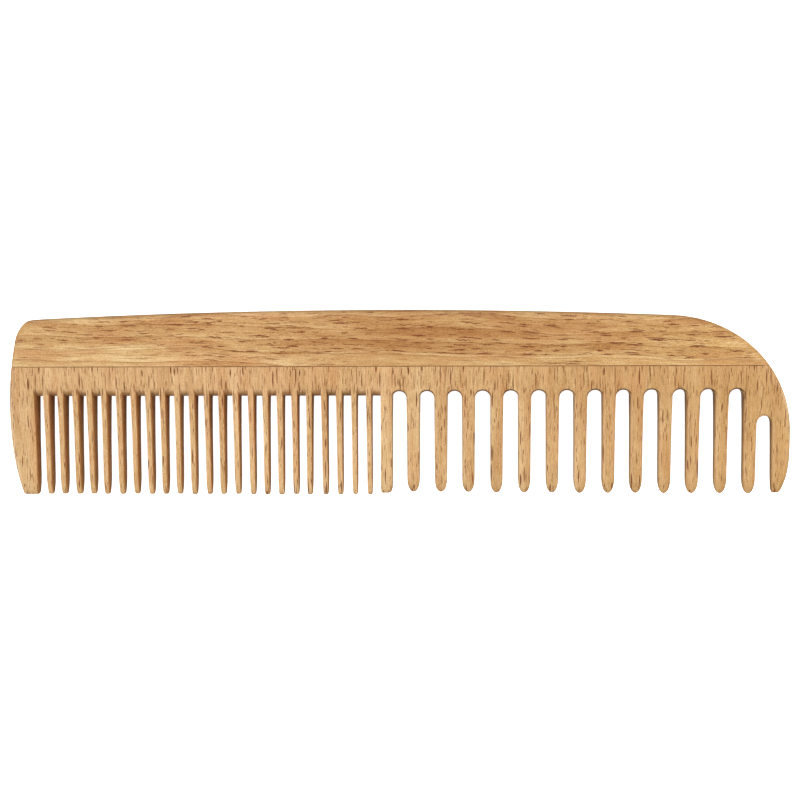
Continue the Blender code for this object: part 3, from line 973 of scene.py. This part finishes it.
class Beech(Graph):
    """Oiled beech. The grain runs along X in the spine and along Y in the tooth plate."""

    def __init__(self, name, seed, along_axis, look):
        super().__init__(name, seed)
        self.look = look
        along, across = (self.x, self.y) if along_axis == "X" else (self.y, self.x)
        sway = self.noise((along, across, self.z), SWAY_SIZE, detail=1.0)
        across = self.add(across, self.times(sway, look["sway"]), self.times(along, look["slope"]))
        self.grain = (along, across, self.z)
        self.broad = self.noise(self.grain, look["broad"], detail=3.0, roughness=0.55, distortion=0.3)
        self.streak = self.noise(self.grain, look["streak"], roughness=0.6)
        self.fibre = self.noise(self.grain, look["fibre"], detail=1.0, roughness=0.6)
        self.pepper = self.noise(self.grain, PEPPER_SIZE, detail=1.0, roughness=0.6)
        ring_place = self.add(across, self.times(self.broad, RING_WANDER))
        self.ring = self.math("FRACT", self.times(ring_place, 1 / look["ring"]))
        height = self.add(self.y, self.times(sway, look["band_sway"]),
                          self.times(self.x, look["band_slope"]))
        self.band = self.ramp(height, *look["band"])
        self.normal = self.parts(self.node("ShaderNodeNewGeometry").outputs["Normal"])

        plain = self.plain_color()
        marks = self.dark_marks()
        color = self.mix(marks, plain, look["mark_color"])
        sawn = 0.0
        if look["sawn"]:
            sawn = self.times(self.ramp(self.absolute(self.normal[0]), 0.55, 0.95),
                              self.zone(self.x, *FINE_CUTS_X))
            color = self.mix(sawn, color, self.tinted(plain, look["sawn"]))
            # Painted shade: the tops of the wide slots and the fine roots are darkened towards the rim
            # colour.
            color = self.mix(self.painted_cut_shade(), color, self.tinted(color, look["rim"]))
        self.finish(color, marks, sawn)

    def plain_color(self):
        """The wood's colour without its dark marks. In the plate it holds painted shade: the flat body
        near the joint is darker than the teeth.
        """
        look = self.look
        tone = self.add(0.5, self.times(self.broad, look["broad_weight"]),
                        self.times(self.streak, look["streak_weight"]),
                        self.times(self.fibre, look["fibre_weight"]),
                        self.times(self.pepper, look["pepper_weight"]),
                        self.times(self.ring, -look["ring_weight"]), 0.5 * look["ring_weight"],
                        self.times(self.band, look["band_tone_and_shade"]))
        share = self.math("MULTIPLY_ADD", self.x, 1 / (RIGHT_X - LEFT_X), 0.5)
        color = self.tinted(self.colors(tone, look["colors"]), self.colors(share, look["drift"]))
        blush = self.noise(self.grain, BLUSH_SIZE, detail=1.0)
        return self.mix(self.ramp(blush, -0.3, 0.9), color, self.tinted(color, look["blush"]))

    def dark_marks(self):
        """Where the ray flecks, ring lines and thin dark threads are, from 0 to 1."""
        look = self.look
        along, across, deep = self.grain
        wobble = self.noise(self.grain, WOBBLE_SIZE, detail=1.0)
        ragged = (along, self.add(across, self.times(wobble, look["ragged"])), deep)
        facing = self.ramp(self.absolute(self.normal[2]), 0.2, 0.8)
        crowding = self.add(look["marks"], self.times(self.broad, -look["crowding"]),
                            self.times(self.band, look["band_marks"]))
        crowding = self.times(crowding, self.between(WALL_MARKS, 1.0, facing),
                              self.between(look["left_marks"], 1.0, self.ramp(self.x, *FEW_MARKS_X)))
        large = self.flecks(ragged, look["fleck_cell"], look["fleck"], look["rarity"])
        small = self.flecks(ragged, look["small_cell"], look["small"], look["rarity"])
        thread = self.ramp(self.noise(self.grain, THREAD_SIZE, detail=1.0), 0.5, 1.0)
        ring_line = self.times(self.ramp(self.ring, 0.88, 0.97), self.ramp(self.streak, -0.5, 0.6))
        band_line = self.times(self.zone(self.band, 0.0, 0.3, 0.5, 0.9),
                               self.ramp(self.streak, -0.7, 0.3))
        marks = self.add(self.times(large, crowding),
                         self.times(small, crowding, look["small_weight"]),
                         self.times(ring_line, look["line_weight"]),
                         self.times(band_line, look["band_line"]),
                         self.times(thread, look["thread_weight"]))
        return self.math("MINIMUM", self.math("MAXIMUM", marks, 0.0), 1.0)

    def painted_cut_shade(self):
        """Painted shade at the ends of the cuts: a thin dark line over each wide slot, and the fine
        roots darker where they face the tips.
        """
        sideways, upwards = self.absolute(self.normal[0]), self.absolute(self.normal[2])
        tipwards = self.normal[1]
        slot_top_shade = self.times(self.zone(self.x, *WIDE_CUTS_X),
                               self.ramp(upwards, 0.97, 0.8),
                               self.between(WALL_CUT_SHADE, 1.0, self.ramp(upwards, 0.05, 0.4)),
                               self.ramp(tipwards, 0.0, -0.3),
                               self.ramp(sideways, 0.8, 0.4))
        roots = self.times(self.zone(self.x, *FINE_CUTS_X), self.ramp(tipwards, -0.1, -0.9), ROOT_CUT_SHADE)
        return self.times(self.add(slot_top_shade, roots), self.zone(self.y, *CUT_TOPS_Y))

    def finish(self, color, marks, sawn):
        """Feed the shader, with a faint relief of fibres and sunken marks."""
        self.feed(self.shader.inputs["Base Color"], color)
        self.feed(self.shader.inputs["Roughness"],
                  self.add(self.look["roughness"], self.times(self.streak, STREAK_ROUGHNESS),
                           self.times(marks, MARK_ROUGHNESS), self.times(sawn, SAWN_ROUGHNESS)))
        self.feed(self.shader.inputs["Metallic"], 0.0)
        self.feed(self.shader.inputs["Specular IOR Level"], SHINE)
        bump = self.node("ShaderNodeBump")
        self.feed(bump.inputs["Strength"], RELIEF_STRENGTH)
        self.feed(bump.inputs["Distance"], RELIEF_DEPTH * MM)
        self.feed(bump.inputs["Height"], self.add(self.fibre, self.times(self.pepper, PEPPER_RELIEF),
                                                  self.times(marks, MARK_RELIEF)))
        self.feed(self.shader.inputs["Normal"], bump.outputs[0])


def glue_material():
    film = Graph("glue", 5.0)
    patches = film.noise((film.x, film.y, film.z), (3.0, 1.0, 1.0))
    color = film.mix(film.ramp(patches, -0.6, 0.6), GLUE_DARK, GLUE_LIGHT)
    film.feed(film.shader.inputs["Base Color"], color)
    film.feed(film.shader.inputs["Roughness"], GLUE_ROUGHNESS)
    film.feed(film.shader.inputs["Metallic"], 0.0)
    return film.material


def dress(piece, material):
    piece.data.materials.clear()
    piece.data.materials.append(material)


dress(spine, Beech("spine_beech", 3.0, "X", SPINE_LOOK).material)
dress(plate, Beech("plate_beech", 61.0, "Y", PLATE_LOOK).material)
dress(glue, glue_material())


# ---------------------------------------------------------------- stage and lights

def stage_material(name, grey, glow):
    """A plain grey that also glows white, so that it looks pale however it is lit."""
    material = bpy.data.materials.new(name)
    material.use_nodes = True
    shader = material.node_tree.nodes["Principled BSDF"]
    shader.inputs["Base Color"].default_value = (grey, grey, grey, 1)
    shader.inputs["Roughness"].default_value = 0.9
    shader.inputs["Emission Color"].default_value = (1, 1, 1, 1)
    shader.inputs["Emission Strength"].default_value = glow
    return material


def make_floor():
    bpy.ops.mesh.primitive_plane_add(size=6)
    floor = bpy.context.object
    floor.name = "floor"
    dress(floor, stage_material("floor", 0.9, 0.93))
    floor.visible_diffuse = False
    floor.visible_glossy = False


def make_backdrop():
    """A white shell far round the scene, which only the camera sees."""
    bpy.ops.mesh.primitive_uv_sphere_add(radius=5)
    backdrop = bpy.context.object
    backdrop.name = "backdrop"
    dress(backdrop, stage_material("backdrop", 0.0, 1.0))
    backdrop.visible_diffuse = False
    backdrop.visible_glossy = False
    backdrop.visible_shadow = False


def area_light(name, place, size, power):
    """A soft rectangle of light that faces the comb's middle."""
    light = bpy.data.lights.new(name, "AREA")
    light.shape = "RECTANGLE"
    light.size, light.size_y = size
    light.energy = power
    lamp = bpy.data.objects.new(name, light)
    lamp.location = place
    lamp.rotation_euler = (-Vector(place)).to_track_quat("-Z", "Y").to_euler()
    bpy.context.scene.collection.objects.link(lamp)


def make_lights():
    """Places and sizes are in metres. The low ones pick out the rounded edges."""
    area_light("key", place=(0.0, 0.6, 0.8), size=(1.8, 0.1), power=4.42)
    area_light("left_box", place=(-0.7, -0.15, 0.7), size=(0.35, 0.9), power=3.2)
    area_light("right_box", place=(0.68, 0.2, 0.72), size=(0.35, 0.9), power=3.55)
    area_light("tips_box", place=(0.0, -0.65, 0.75), size=(1.4, 0.3), power=3.5)
    area_light("overhead", place=(0.0, 0.1, 1.1), size=(2.4, 0.9), power=2.5)
    area_light("crown_low", place=(0.0, 0.85, 0.16), size=(1.4, 0.16), power=5.2)
    area_light("left_low", place=(-0.85, -0.2, 0.13), size=(0.12, 0.6), power=4.4)
    area_light("tips_low", place=(0.0, -0.85, 0.16), size=(1.4, 0.16), power=1.4)
    area_light("right_low", place=(0.85, 0.05, 0.13), size=(0.12, 0.6), power=4.0)


def make_world():
    world = bpy.data.worlds.new("world")
    world.use_nodes = True
    background = world.node_tree.nodes["Background"]
    background.inputs["Color"].default_value = (1, 1, 1, 1)
    background.inputs["Strength"].default_value = 0.12
    bpy.context.scene.world = world


make_floor()
make_backdrop()
make_lights()
make_world()
bpy.context.scene.view_settings.view_transform = "Standard"
